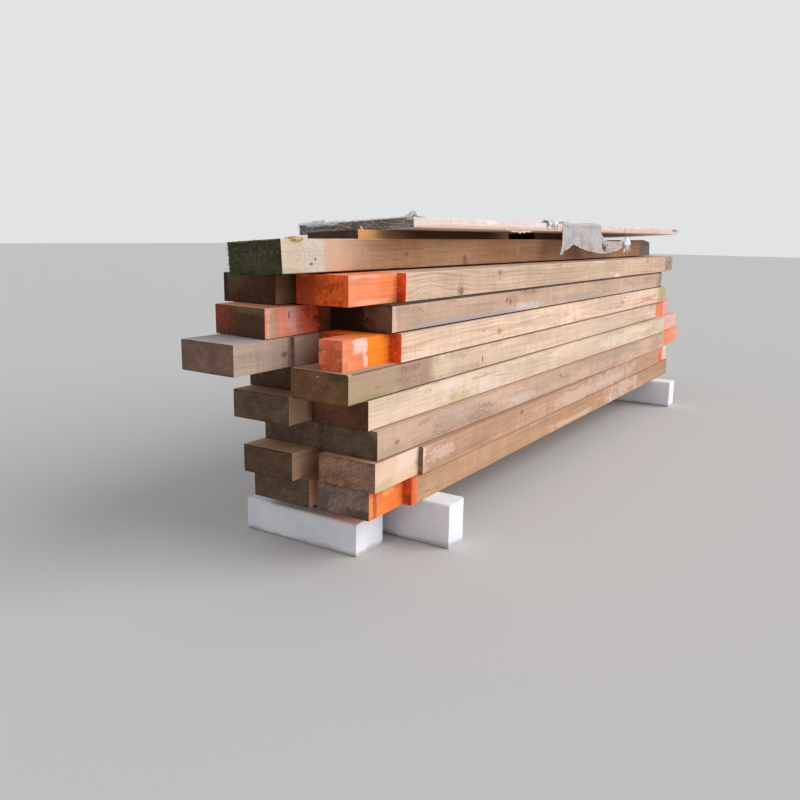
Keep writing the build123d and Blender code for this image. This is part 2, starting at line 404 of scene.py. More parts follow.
LOOKS = {
    "beam_front_1": Look(
        0xC69979, 0xA0704E, heart=(0.02, -0.05), drift=(0.0, 0.02), ring=8, contrast=0.5, end=0x92786B,
        end_rings=0.15, end_scratch=0.4, end_checks=0.6, scratch_angle=50,
        patches=[Patch(1900, 18, 10, 16, CHALK, 0.8, 60), Patch(1400, 16, 240, 12, 0xE2C4AA, 0.6, 14),
                 Patch(2100, 40, 230, 34, 0xE0C2B0, 0.55, 26, 4.5),
                 Patch(1050, 60, 200, 10, BROWN, 0.4, 20, specks=0.5), end_patch(40, 12, 60, 14, DARK),
                 end_patch(180, 40, 26, 44, DARK, 0.5)],
        paints=[
            Paint(-20, 176, 0xFC8E4E, 0xFA7C38, ends=0.0, smears=[
                Patch(28, 40, 10, 50, 0xAA4628, 0.75, 60), Patch(96, 62, 30, 12, 0xFFB078)]),
            Paint(166, 204, 0xE86432, 0xF08254, strength=0.9, end_colour=0xFA682E),
        ],
    ),
    "beam_front_2": Look(
        0xC69C7F, 0xAA7456, heart=(0.06, 0.12), drift=(0.0, -0.02), ring=10, contrast=0.45, end=0x9E7660,
        end_rings=0.2, end_scratch=0.45, scratch_angle=38,
        knots=[Knot(894, 58, 7)],
        patches=[Patch(110, 44, 140, 60, 0xF0CEB2, 0.85, 8), Patch(170, 50, 60, 40, 0xF4D8C8, 0.7, 20),
                 Patch(330, 46, 88, 22, 0xEACCBE, 0.8, 80, specks=0.6),
                 Patch(20, 8, 90, 16, YELLOW_GREEN, 0.5), Patch(1500, 30, 420, 30, 0xDEBEAC, 0.6, 12),
                 Patch(1960, 40, 280, 34, 0xDEC2B4, 0.55, 26, 4.5),
                 Patch(560, 14, 90, 16, BROWN, 0.45, 40, specks=0.6),
                 Patch(1900, 60, 300, 16, GREY, 0.4, specks=0.6),
                 end_patch(100, 60, 90, 16, 0xBEAA96, 0.35, grain=120, specks=0.8)],
        paints=[
            Paint(2690, 2845, 0xF4744A),
            Paint(2843, 2960, 0xF0CEC0, strength=0.95),
        ],
    ),
    "beam_front_3": Look(
        0xD0AE96, 0xB48C70, heart=(0.05, 0.02), drift=(0.01, 0.01), ring=9, contrast=0.4, grime=0.5,
        end=0x6C5644, end_rings=0.2,
        knots=[Knot(94, 33, 6), Knot(1260, 50, 5)],
        patches=[Patch(351, 36, 70, 26, 0x544A48, 0.65, 90, 3.6, 0.9),
                 Patch(572, 34, 110, 26, 0x4C464A, 0.7, 90, 3.6, 0.9),
                 Patch(240, 66, 40, 8, DARK, 0.5, 70, specks=0.6),
                 Patch(420, 50, 160, 30, 0xBEA696, 0.6, 20),
                 Patch(900, 20, 120, 18, CHALK, 0.4, 60, 4.5, 0.3),
                 Patch(1900, 60, 460, 14, GREY, 0.5, specks=0.5),
                 Patch(2570, 40, 90, 36, 0xA87864, 0.5, 60, specks=0.6), Patch(60, 14, 80, 18, 0xB4A082),
                 end_patch(14, 74, 24, 16, OLIVE, 0.4)],
        paints=[
            Paint(2736, 3150, 0xF68456, 0xF0A88C),
        ],
    ),
    "beam_front_4": Look(
        0xF0D5BB, 0xD4AC8C, heart=(0.09, -0.02), drift=(0.0, 0.012), ring=9, contrast=0.45, end=0x684430,
        end_rings=0.15, end_scratch=0.35,
        patches=[Patch(497, 14, 76, 18, 0xC4BC8A, 0.5, 60, 4.0),
                 Patch(431, 58, 46, 22, CHALK, 0.5, 50, 3.6, 0.4),
                 Patch(705, 34, 110, 34, CHALK, 0.45, 30, 4.0, 0.4),
                 *flecks(0.6, (284, 62, 4, 4), (300, 64, 8, 2), (312, 60, 3, 5)),
                 Patch(440, 28, 14, 20, DARK, 0.45, 120, specks=0.9),
                 Patch(1500, 40, 280, 30, 0xD4BEA2, 0.5, 14), Patch(1950, 40, 200, 20, CHALK, 0.3, 20),
                 end_patch(150, 60, 70, 26, 0x84543C, 0.5)],
        paints=[
            Paint(2700, 2812, PALE_GREEN, strength=0.75),
            Paint(2806, 3160, 0xEEB09C, 0xECBEB4),
        ],
    ),
    "beam_front_5": Look(
        0xE6C8B0, 0xD0A684, heart=(0.12, 0.12), drift=(0.0, -0.02), ring=9, contrast=0.45, end=0x7C563A,
        end_rings=0.15, end_scratch=0.2, end_checks=0.2, top=0xC4A88C,
        patches=[Patch(60, 44, 220, 70, 0xAA8F71, 0.85, 14, 1.4), Patch(70, 6, 130, 12, OLIVE, 0.45),
                 Patch(325, 46, 112, 70, 0x967662, 0.85, 22, 1.0, 0.3),
                 Patch(290, 60, 50, 10, 0x786052, 0.5, 60, specks=0.5),
                 Patch(735, 32, 3, 13, BLACK, 0.95, 200), Patch(560, 64, 80, 12, OLIVE, 0.4, 60, 4.5, 0.3),
                 Patch(480, 34, 60, 30, 0xDECAA6, 0.55, 40, 4.0),
                 Patch(840, 70, 60, 6, GREY, 0.5, 60, specks=0.5),
                 Patch(1900, 40, 300, 30, 0xD4BEA8, 0.5, 12),
                 end_patch(30, 70, 40, 18, 0x404224, 0.75, grain=60),
                 end_patch(4, 40, 7, 40, 0x5C5432, 0.4, grain=60),
                 end_patch(96, 66, 5, 3, 0xD6A88C, 0.8, grain=120)],
        paints=[
            Paint(2770, 2984, 0xF48A60),
            Paint(2976, 2994, DEEP_ORANGE, strength=0.8),
            Paint(2990, 3140, PINK),
        ],
    ),
    "beam_front_6": Look(
        0xF9D8BE, 0xCE8C60, heart=(0.02, 0.03), drift=(0.0, 0.003), ring=11, contrast=1.0, end=0x965C3C,
        end_rings=0.3,
        knots=[Knot(832, 31, 6), Knot(2177, 40, 7)],
        patches=[Patch(1250, 40, 150, 34, 0xD6BEA0, 0.6, 14), Patch(1060, 50, 60, 30, 0xC4B096, 0.4, 14),
                 Patch(1900, 40, 260, 30, 0xCEB4A0, 0.5, 14)],
        paints=[
            Paint(-20, 112, 0xF69470, 0xFA925A, end_colour=0xFF865A, smears=[
                Patch(66, 62, 24, 22, WHITE_PAINT, 0.85, 40), Patch(96, 58, 16, 26, WHITE_PAINT, 0.85, 40),
                Patch(103, 16, 12, 20, WHITE_PAINT, 0.8, 60), Patch(12, 12, 12, 16, 0xD67850, 0.5, 60),
                end_patch(50, 22, 34, 34, 0x7C4230, 0.42, grain=90, specks=0.7),
                end_patch(74, 44, 16, 50, 0xD65C34, 0.6, grain=60),
                end_patch(4, 40, 8, 50, 0xE2784C, 0.6)]),
            Paint(110, 222, 0xFF901E, 0xFF821E, end_colour=0xFA682E, smears=[
                Patch(216, 40, 8, 50, 0xA03216, 0.5, 90, specks=0.7)]),
            Paint(2800, 2960, 0xBEAE7A, 0xB4AA7C, strength=0.85),
        ],
    ),
    "beam_front_7": Look(
        0xCEAC94, 0xB68C70, heart=(0.115, -0.012), drift=(0.0, 0.006), ring=6.5, contrast=0.35, ledge_shade=0.9,
        end=0x785E48, end_rings=1.0, end_scratch=0.2, end_checks=0.1,
        knots=[Knot(716, 48, 5), Knot(745, 42, 6), Knot(867, 72, 4), Knot(939, 68, 5), Knot(1650, 45, 5),
               Knot(2400, 50, 6)],
        patches=[Patch(520, 0, 420, 20, BLUE_GREY, 0.8, 14, 0.8),
                 Patch(900, 18, 130, 14, 0xD0CCD2, 0.7, 50, specks=0.3),
                 *flecks(0.6, (136, 60, 3, 3), (150, 56, 6, 2), (160, 50, 3, 3), (176, 44, 4, 3)),
                 Patch(190, 35, 2, 5, DARK, 0.5, 200), *flecks(0.7, (716, 46, 3, 9), (745, 40, 3, 11)),
                 Patch(760, 44, 50, 22, 0xA0785E, 0.4, 40), Patch(900, 68, 70, 14, 0xA47C62, 0.4, 40),
                 Patch(1500, 20, 380, 18, GREY, 0.5, 20),
                 Patch(2200, 20, 300, 16, 0xC4BCBE, 0.5, 40, specks=0.4),
                 Patch(2650, 40, 46, 60, 0x787270, 0.85, specks=0.3), Patch(10, 40, 16, 60, 0xE2C8B0, 0.5),
                 end_patch(156, 40, 84, 90, 0x1C120E, 0.92, grain=20), end_patch(60, 2, 90, 10, BLACK, 0.4),
                 end_patch(60, 79, 90, 8, BLACK, 0.5)],
    ),
    "beam_front_8": Look(
        0xDCBCA1, 0xB28E70, heart=(0.03, 0.125), drift=(0.0, -0.012), ring=12, contrast=0.8, end=0xC85428,
        end_rings=0.35, end_scratch=0.7, scratch_angle=62,
        knots=[Knot(545, 14, 9), Knot(814, 62, 6), Knot(2557, 66, 7), Knot(355, -6, 27, shows=0.0)],
        patches=[Patch(2066, 8, 40, 9, CHALK, 0.9, 80), Patch(1300, 40, 300, 34, 0xC4A48A, 0.45, 12),
                 Patch(545, 26, 26, 26, 0x96745C, 0.45, 60, specks=0.4),
                 Patch(545, 18, 5, 14, 0x5C4030, 0.6, 120), Patch(814, 54, 4, 16, 0x805E48, 0.5, 120),
                 Patch(1800, 76, 90, 4, CHALK, 0.6, 80),
                 Patch(3050, 40, 144, 60, 0x927E68, 0.85, 30, 0.4, 0.2),
                 Patch(2904, 40, 7, 60, DARK, 0.6, 60), Patch(3080, 46, 22, 10, DARK, 0.7, 60, specks=0.4),
                 Patch(3040, 20, 30, 8, DARK, 0.5, 60, specks=0.4)],
        paints=[
            Paint(-20, 228, 0xF8966E, 0xFC8E52, end_colour=0xFF6C2A, smears=[
                Patch(60, 76, 120, 6, 0xFFBEA0), Patch(100, 8, 90, 6, 0xFFBAA0, 0.5),
                end_patch(170, 30, 50, 70, 0x963E22, 0.75)]),
            Paint(222, 236, 0xFFB096, strength=0.6, ends=0.0),
        ],
    ),
    # The top beam's dark brown front and the pale stretch at its near end are partly its own colour and
    # partly painted shade and light: the shade of the panel above, which ends near there
    "beam_top": Look(
        0x9B6F4D, 0x764E34, heart=(0.10, 0.16), drift=(0.0, -0.01), ring=9, contrast=0.5, grime=0.2,
        end=0x3C3523, end_rings=0.1, end_scratch=0.6, end_checks=0.2, scratch_angle=6, top=0xB09678,
        knots=[Knot(922, 15, 9), Knot(560, 40, 4)],
        patches=[Patch(40, 44, 300, 90, 0xCEAB92, 0.95, 12, 0.7),
                 Patch(60, 44, 110, 60, 0xD0B89E, 0.7, 20, 1.6),
                 Patch(124, 40, 48, 60, 0xD2C8BF, 0.85, 40, 0.7, 0.2),
                 Patch(50, 40, 66, 50, 0xD8CBBC, 0.6, 50, 1.6, 0.4),
                 Patch(90, 40, 84, 40, 0x867664, 0.45, 90, specks=1.0),
                 Patch(8, 44, 12, 60, 0xCEC4A6, 0.6, 60, specks=0.5),
                 Patch(44, 2, 60, 12, 0xB0B284, 0.75, 60, specks=0.3), Patch(110, 22, 6, 4, DARK, 0.8, 120),
                 Patch(128, 34, 5, 3, DARK, 0.8, 120),
                 Patch(920, 30, 60, 30, 0xAC8666, 0.5, 20, specks=0.3),
                 Patch(922, 18, 6, 18, 0x543624, 0.7, 120),
                 Patch(3046, 40, 104, 90, 0x5E5E65, 0.92, 20, 0.6, 0.1),
                 Patch(2950, 44, 44, 50, 0x484242, 0.8, 60, specks=0.6),
                 Patch(3060, 64, 50, 14, 0x323134, 0.7, 80, specks=0.7),
                 end_patch(168, 40, 22, 60, 0x424A2C, 0.5, grain=60),
                 end_patch(60, 72, 80, 12, 0x3C4024, 0.5, grain=60),
                 end_patch(40, 10, 70, 16, 0x424A2A, 0.6, grain=60),
                 end_patch(100, 40, 60, 26, 0x4A3E2C, 0.5), end_patch(90, 84, 100, 3, 0x969274, grain=60),
                 end_patch(90, 46, 90, 36, 0x686448, 0.55, grain=160, specks=0.95)],
    ),
    "beam_back_6": Look(
        0xB8A294, 0xA08878, heart=(0.10, 0.062), drift=(0.004, 0.0), ring=8, contrast=0.4, saw=0.06,
        end=0x8C6C5C, end_rings=0.55, end_scratch=0.15, end_checks=0.5, top=0xB2ACB0,
        knots=[Knot(188, 36, 4)],
        patches=[Patch(420, 40, 212, 90, 0x796760, 0.62, 10, 0.3),
                 Patch(188, 36, 14, 7, DARK, 0.8, 90, specks=0.4),
                 Patch(206, 40, 5, 60, DARK, 0.6, 90, specks=0.3),
                 end_patch(190, 40, 30, 60, 0x705A4C, 0.6)],
    ),
    "beam_back_7": Look(
        0x785846, 0x604232, heart=(0.12, 0.09), ring=8, end=0x5C3E2A, end_rings=0.25, top=0xD68064,
        patches=[end_patch(178, 46, 56, 60, 0x9C4632, 0.85, grain=60, tear=5.0, specks=0.3),
                 end_patch(120, 60, 26, 26, 0x783C2A, 0.5, grain=70, tear=4.0),
                 end_patch(60, 72, 80, 12, OLIVE, 0.35, grain=70), end_patch(20, 30, 30, 50, 0x543A28),
                 end_patch(100, 40, 60, 36, 0x583A24, 0.6, grain=60, specks=0.5)],
        paints=[
            Paint(-20, 58, 0xECC8B4, 0xF09E7A, ends=0.0, smears=[
                Patch(2, 40, 7, 60, 0xFA7E50, 0.8, 60),
                Patch(34, 40, 20, 44, 0xA0927C, 0.75, 90, specks=0.5)]),
            Paint(56, 236, 0xFFA082, 0xD65C34, ends=0.0, smears=[
                Patch(104, 44, 18, 60, 0xF0BAB2, 0.75, 30, 4.0), Patch(94, 56, 4, 11, DARK, 0.7, 60),
                Patch(128, 50, 14, 40, 0xECA08E, 0.6, 40, 4.0), Patch(150, 66, 5, 3, DARK, 0.6, 200),
                Patch(170, 60, 14, 20, 0x963C22, 0.5, 60), Patch(232, 40, 24, 60, 0x543224, 0.7, 50, 5.0)]),
        ],
    ),
    "beam_back_8": Look(
        0x886A4A, 0x6E543C, heart=(0.07, -0.02), ring=8, end=0x503421, end_rings=0.2,
        patches=[end_patch(170, 60, 34, 30, 0x625038, 0.6)],
    ),
    "under_board_near": Look(
        0xCE965C, 0xA46A3A, end=0x5C4C42, contrast=0.6,
        # The long dark stain along the front is painted shade under the panel's overhang; the golden one at
        # the near end is painted light, where the overhang ends
        patches=[Patch(560, 14, 420, 30, 0x4A2610, 0.95, 10, 0.2),
                 Patch(60, 14, 84, 30, 0xDAA262, 0.85, 30, 0.4), Patch(128, 14, 3, 20, 0x966036)],
    ),
    "under_board_far": Look(0x785438, 0x60402A, end=0x3C2A1E),
    "packing_strip": Look(0xB0845C, 0x8C6240, end=0x604A3A),
    "top_panel": Look(
        0xF3E0DD, 0xE4C9C0, heart=(0.2, -0.2), ring=9, contrast=0.35, grime=0.3, end=0x6E6460,
        end_rings=0.2,
        patches=[Patch(1100, 3, 1300, 9, 0xD4B094, 0.9, 30, 1.0), Patch(500, 22, 60, 8, 0xFAECE8, 0.7),
                 Patch(1060, 14, 70, 12, 0xCE9670, 0.7, 50, specks=0.3),
                 Patch(985, 20, 14, 5, DARK, 0.8, 90), Patch(1930, 9, 9, 14, 0x68483A, 0.8, 90),
                 Patch(1880, 4, 8, 3, 0x967460, 0.6, 90), Patch(2250, 12, 500, 12, 0xD8B8A8, 0.7),
                 Patch(2700, 20, 200, 9, 0xD8CEB0, 0.7, 60, specks=0.6),
                 Patch(2860, 20, 60, 8, DARK, 0.8, 60, specks=0.5)],
    ),
}
PLAIN_LOOKS = [
    Look(0xBE9A7C, 0x9E7658, heart=(0.04, -0.04), end=0x705846),
    Look(0xC49E7C, 0x966C4E, heart=(0.14, 0.10), end=0x684E3C, end_checks=0.5),
    Look(0xB4967C, 0x96765C, heart=(0.10, 0.02), end=0x766050, contrast=0.4),
]


def panel_lean():
    """How far the panel and what is under it lean back, from the panel's box."""
    low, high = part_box("top_panel")
    across = PANEL_WIDTH * (high.z - low.z) - PANEL_THICKNESS * (high.y - low.y)
    return math.asin(across / (PANEL_WIDTH ** 2 - PANEL_THICKNESS ** 2))


LEAN = panel_lean()
LEAN_BACK = Vector((0, math.cos(LEAN), -math.sin(LEAN)))
LEAN_UP = Vector((0, math.sin(LEAN), math.cos(LEAN)))
LEANING = ("beam_top", "top_panel", "under_board_near", "under_board_far")


def timber_place(name):
    """A piece's near, front, bottom corner, and how far it leans back."""
    low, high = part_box(name)
    if name not in LEANING:
        return low, 0.0
    points = [vertex.co for vertex in bpy.data.objects[name].data.vertices]
    across = min(point.dot(LEAN_BACK) for point in points)
    above = min(point.dot(LEAN_UP) for point in points)
    return Vector((low.x, 0, 0)) + LEAN_BACK * across + LEAN_UP * above, -LEAN


def covered(name, step):
    """The stretch of a beam that touches the beam above it or below it, and
    how far that beam's front is set back from its own."""
    column, _, number = name.rpartition("_")
    other = f"{column}_{int(number) + step}" if number.isdigit() else ""
    if other not in frame["nodes"]:
        return None
    low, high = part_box(name)
    other_low, other_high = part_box(other)
    return max(low.x, other_low.x) - low.x, min(high.x, other_high.x) - low.x, other_low.y - low.y


def patch_mask(tree, position, seeded, patch):
    """A rounded patch with a torn edge: 1 inside, 0 outside."""
    across = 1 / (patch.half_across * MM)
    up = 1 / (patch.half_up * MM)
    if patch.face == "end":
        scale, centre = (0, across, up), (0, -patch.across * MM * across, -patch.up * MM * up)
    else:
        scale, centre = (across, 0, up), (-patch.across * MM * across, 0, -patch.up * MM * up)
    offset = tree.vector("MULTIPLY_ADD", position, scale, centre)
    square = tree.vector("MULTIPLY", offset, offset)
    distance = tree.math("POWER", tree.vector("DOT_PRODUCT", square, square), 0.25)
    grain = patch.grain
    torn = tree.noise(seeded, (grain * 0.6, grain, grain), detail=5.0, roughness=0.7)
    distance = tree.scaled(tree.math("SUBTRACT", torn, 0.5), patch.tear, distance)
    mask = tree.span(distance, 0.55, 1.15, 1.0, 0.0)
    if patch.specks:
        broken = tree.span(tree.noise(seeded, (190, 110, 110), detail=4.0, roughness=0.72), 0.47, 0.6)
        mask = tree.times(mask, tree.scaled(broken, patch.specks, 1.0 - patch.specks))
    return mask


def lay_patches(tree, colour, position, seeded, patches, faces):
    """Colour with stains laid over it, each on the face that it is for."""
    for patch in patches:
        mask = tree.times(patch_mask(tree, position, seeded, patch), patch.strength, faces[patch.face])
        colour = tree.mix(mask, colour, patch.colour)
    return colour


def timber_material(name, look):
    """The material of one piece of timber, from its look and its place."""
    material, tree, surface = new_material("wood_" + name, 0.8)
    corner, lean = timber_place(name)
    low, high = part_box(name)
    local = tree.node("ShaderNodeMapping", vector_type="TEXTURE")
    tree.feed(local.inputs["Vector"], tree.place())
    local.inputs["Location"].default_value = corner
    local.inputs["Rotation"].default_value = (lean, 0.0, 0.0)
    position = local.outputs[0]
    x, y, z = tree.split(position)
    normal = tree.split(tree.node("ShaderNodeNewGeometry").outputs["True Normal"])
    facing = [tree.math("ABSOLUTE", part) for part in normal]
    on_end = tree.span(facing[0], 0.6, 0.8)
    on_near_end = tree.times(on_end, tree.span(x, 0.3, 0.4, 1.0, 0.0))
    on_front = tree.span(normal[1], -0.8, -0.5, 1.0, 0.0)
    on_top = tree.span(normal[2], 0.8, 0.95)
    on_arris = tree.times(tree.span(facing[1], 0.2, 0.4), tree.span(facing[2], 0.2, 0.4))
    faces = {"front": on_front, "end": on_near_end}
    seed_value = sum(ord(letter) * (place + 3) for place, letter in enumerate(name)) % 97
    seed = (seed_value * 1.37, seed_value * 0.71, seed_value * 0.53)
    seeded = tree.vector("ADD", position, seed)

    lift, core, rim, halo = 0.0, 0.0, 0.0, 0.0
    for knot in look.knots:
        centre = (knot.x * MM, 0, knot.z * MM)
        made = tree.group(KNOT, Position=position, Centre=centre, Radius=knot.radius * MM)
        lift = tree.math("ADD", lift, made["Lift"])
        if knot.shows:
            core = tree.math("MAXIMUM", core, made["Core"])
            rim = tree.math("MAXIMUM", rim, made["Rim"])
            halo = tree.math("MAXIMUM", halo, made["Halo"])
    wood = tree.group(TIMBER, Position=position, Seed=seed, Pith=(0, *look.heart), Drift=(0, *look.drift),
                      Ring=look.ring * MM, Lift=lift, Contrast=look.contrast, Early=look.early,
                      Late=look.late)
    colour = wood["Color"]

    # Saw marks, grime, rubs, stains, knots, small checks along the grain, and specks
    saw = tree.noise(seeded, (420, 6, 14), detail=1.0)
    colour = tree.shade(colour, tree.span(saw, 0.3, 0.7, 1.0 - look.saw, 1.0 + look.saw))
    grime = tree.noise(seeded, (3.2, 14, 20), detail=5.0, roughness=0.65)
    colour = tree.mix(tree.span(grime, 0.5, 0.8, 0.0, look.grime), colour, 0x968072)
    cracked = tree.noise(seeded, (1.4, 52, 52), detail=1.0)
    checks = tree.times(tree.band(cracked, 0.5, 0.006), tree.span(grime, 0.5, 0.56))
    rubbed = tree.noise(seeded, (26, 5, 8), detail=5.0, roughness=0.62, output="Color")
    rubs = tree.split(rubbed)
    upright = tree.scaled(on_top, -0.85, 1.0)
    rub = tree.scaled(tree.span(rubs[0], 0.3, 0.7, -0.07, 0.05), upright, 1.0)
    colour = tree.shade(colour, rub)
    colour = tree.mix(tree.times(tree.span(rubs[1], 0.56, 0.72, 0.0, 0.32), upright), colour, 0xA89282)
    if look.top:
        greyed = tree.mix(tree.span(grime, 0.4, 0.7), look.top, tree.shade(look.top, 0.75))
        colour = tree.mix(tree.times(on_top, 0.85), colour, greyed)
    stains = [patch for patch in look.patches if patch.face == "front"]
    colour = lay_patches(tree, colour, position, seeded, stains, faces)
    if look.knots:
        colour = tree.mix(tree.times(halo, 0.3), colour, look.late)
        colour = tree.mix(tree.times(core, 0.5), colour, 0x805A3E)
        colour = tree.mix(tree.times(rim, 0.4), colour, 0x503628)
    colour = tree.mix(tree.times(checks, 0.6), colour, 0x543A2A)
    specks = tree.span(tree.noise(seeded, (130, 170, 170), detail=2.0), 0.68, 0.75)
    colour = tree.mix(tree.times(specks, 0.45), colour, 0x544236)

    # End grain: rings, the saw's scratches, blotches, checks from the heart and a dark border
    turned = tree.node("ShaderNodeVectorRotate", rotation_type="X_AXIS")
    turned.inputs["Angle"].default_value = math.radians(look.scratch_angle)
    tree.feed(turned.inputs["Vector"], seeded)
    scratch = tree.noise(turned.outputs[0], (0, 36, 520), detail=2.0)
    blotch = tree.noise(seeded, (5, 20, 26), detail=6.0, roughness=0.7)
    rings = tree.times(wood["Latewood"], look.end_rings)
    end = tree.mix(rings, look.end, tree.shade(look.end, 0.42))
    end = tree.shade(end, tree.span(blotch, 0.32, 0.68, 0.7, 1.22))
    dark, light = 1.0 - look.end_scratch, 1.0 + 0.6 * look.end_scratch
    end = tree.shade(end, tree.span(scratch, 0.3, 0.7, dark, light))
    heading = tree.vector("NORMALIZE", wood["Away"])
    split = tree.band(tree.noise(heading, (0, 7, 7), detail=1.0), 0.5, 0.012)
    split = tree.times(split, tree.span(blotch, 0.42, 0.58), look.end_checks)
    end = tree.mix(split, end, BLACK)
    wide = TOP_BEAM_WIDTH if name == "beam_top" else BEAM_WIDTH
    tall = TOP_BEAM_THICKNESS if name == "beam_top" else high.z - low.z
    inset_y = tree.math("MINIMUM", y, tree.math("SUBTRACT", wide, y))
    inset = tree.math("MINIMUM", tree.math("MINIMUM", z, tree.math("SUBTRACT", tall, z)), inset_y)
    inset = tree.scaled(tree.math("SUBTRACT", blotch, 0.5), 0.02, inset)
    end = tree.shade(end, tree.span(inset, -0.001, 0.007, 0.62, 1.0))
    stains = [patch for patch in look.patches if patch.face == "end"]
    end = lay_patches(tree, end, position, seeded, stains, faces)
    colour = tree.mix(on_end, colour, end)

    for paint in look.paints:
        reach = tree.scaled(tree.noise(seeded, (30, 60, 60), detail=4.0, roughness=0.6), 0.012, x)
        start, end = paint.start * MM, paint.end * MM
        mask = tree.times(tree.span(reach, start + PAINT_FADE[0], start + PAINT_FADE[1]),
                          tree.span(reach, end + PAINT_FADE[0], end + PAINT_FADE[1], 1.0, 0.0))
        worn = tree.noise(seeded, (40, 60, 60), detail=5.0, roughness=0.7)
        share = tree.scaled(on_end, paint.ends - 1.0, 1.0)
        mask = tree.times(mask, tree.span(worn, 0.27, 0.36, 0.55, 1.0), share, paint.strength)
        coat = tree.mix(tree.span(x, start, end), paint.colour, paint.turning or paint.colour)
        tone = tree.noise(seeded, (14, 18, 30), detail=3.0, roughness=0.55)
        coat = tree.shade(coat, tree.span(tone, 0.3, 0.7, 0.9, 1.05))
        coat = tree.shade(coat, tree.scaled(wood["Latewood"], -0.14, 1.0))
        coat = tree.shade(coat, tree.span(wood["Fibre"], 0.2, 0.8, 0.9, 1.05))
        end_coat = paint.end_colour or paint.colour
        dull = tuple(0.5 * part for part in rgb(end_coat)[:3]) + (1.0,)
        end_coat = tree.mix(tree.span(blotch, 0.48, 0.66), end_coat, dull)
        end_coat = tree.shade(end_coat, tree.span(scratch, 0.36, 0.56, 0.6, 1.08))
        coat = tree.mix(on_end, coat, end_coat)
        coat = lay_patches(tree, coat, position, seeded, paint.smears, faces)
        colour = tree.mix(mask, colour, coat)

    # Edges: painted shade, with some dirt, where two beams meet, and wear where an edge is free
    for step, side, depth in ((-1, -1.0, 0.9), (1, 1.0, 0.65)):
        stretch = covered(name, step)
        touching, set_back = 0.0, 0.0
        if stretch:
            start, end, set_back = stretch
            touching = tree.times(tree.span(x, start - CONTACT_FADE, start + CONTACT_FADE),
                                  tree.math("LESS_THAN", x, end))
        # A narrow ledge of top face in front of the beam above is darkened: painted shade, with some dirt
        if step == 1 and set_back > LEAST_LEDGE:
            ledge_shade = tree.times(on_top, touching, look.ledge_shade)
            colour = tree.mix(ledge_shade, colour, BLACK)
            depth = max(0.2, look.ledge_shade)
        this_edge = tree.times(on_arris, tree.math("GREATER_THAN", tree.times(normal[2], side), 0.0))
        untouched = tree.math("SUBTRACT", 1.0, touching)
        free = tree.times(this_edge, untouched, tree.span(grime, 0.35, 0.6, 0.5, 0.0))
        colour = tree.mix(free, colour, 0xE8D4C2)
        # The arris along a seam is darkened towards black: painted shade of the seam, with some dirt
        colour = tree.mix(tree.times(this_edge, touching, depth), colour, BLACK)
    tree.feed(surface.inputs["Base Color"], colour)

    relief = tree.scaled(wood["Fibre"], 0.5, tree.times(saw, 0.4))
    relief = tree.scaled(wood["Latewood"], 0.25, relief)
    relief = tree.scaled(tree.math("ADD", checks, core), -1.0, relief)
    end_relief = tree.scaled(scratch, 1.6, tree.scaled(blotch, 1.4, tree.times(split, -2.0)))
    height = tree.node("ShaderNodeMix", data_type="FLOAT")
    for socket, value in ((0, on_end), (2, relief), (3, end_relief)):
        tree.feed(height.inputs[socket], value)
    tree.feed(surface.inputs["Normal"], tree.bump(height.outputs[0], 0.0013, 0.6))
    return material


def dress(name, material, eased):
    """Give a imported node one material, and round its sawn edges a little."""
    piece = bpy.data.objects[name]
    piece.data.materials.clear()
    piece.data.materials.append(material)
    bevel = piece.modifiers.new("eased", "BEVEL")
    bevel.width = eased
    bevel.segments = 2
    bevel.limit_method = "ANGLE"
    bevel.angle_limit = math.radians(30)


def dress_timber():
    """Every beam, board and panel gets its own wood."""
    wooden = [n for n in frame["nodes"] if n.startswith(("beam_", "under_board", "packing", "top_panel"))]
    for place, name in enumerate(sorted(wooden)):
        look = LOOKS.get(name, PLAIN_LOOKS[place % len(PLAIN_LOOKS)])
        rounding = BEAM_ROUNDING if name.startswith("beam") else BOARD_ROUNDING
        dress(name, timber_material(name, look), rounding)


def dress_bearers():
    """White aerated concrete: fine pores, chips and a dirty foot."""
    material, tree, surface = new_material("bearer_concrete", 0.92, 0.2)
    position = tree.place()
    cloud = tree.noise(position, scale=9.0, detail=5.0, roughness=0.6)
    pores = tree.noise(position, scale=420.0, detail=2.0)
    chips = tree.noise(position, scale=60.0, detail=4.0, roughness=0.7)
    colour = tree.mix(tree.span(cloud, 0.3, 0.75), 0xF8FAFE, 0xE8EBF4)
    colour = tree.shade(colour, tree.span(pores, 0.3, 0.45, 0.9, 1.0))
    colour = tree.mix(tree.span(chips, 0.66, 0.76, 0.0, 0.35), colour, 0xB0AEB0)
    foot = tree.scaled(cloud, -0.03, tree.split(position)[2])
    colour = tree.mix(tree.span(foot, -0.012, 0.004, 0.55, 0.0), colour, 0x96928E)
    tree.feed(surface.inputs["Base Color"], colour)
    height = tree.math("ADD", tree.times(cloud, 0.6), tree.math("ADD", pores, chips))
    tree.feed(surface.inputs["Normal"], tree.bump(height, 0.0016, 0.6))
    for name in ("bearer_near", "bearer_front", "bearer_far"):
        dress(name, material, BEARER_ROUNDING)


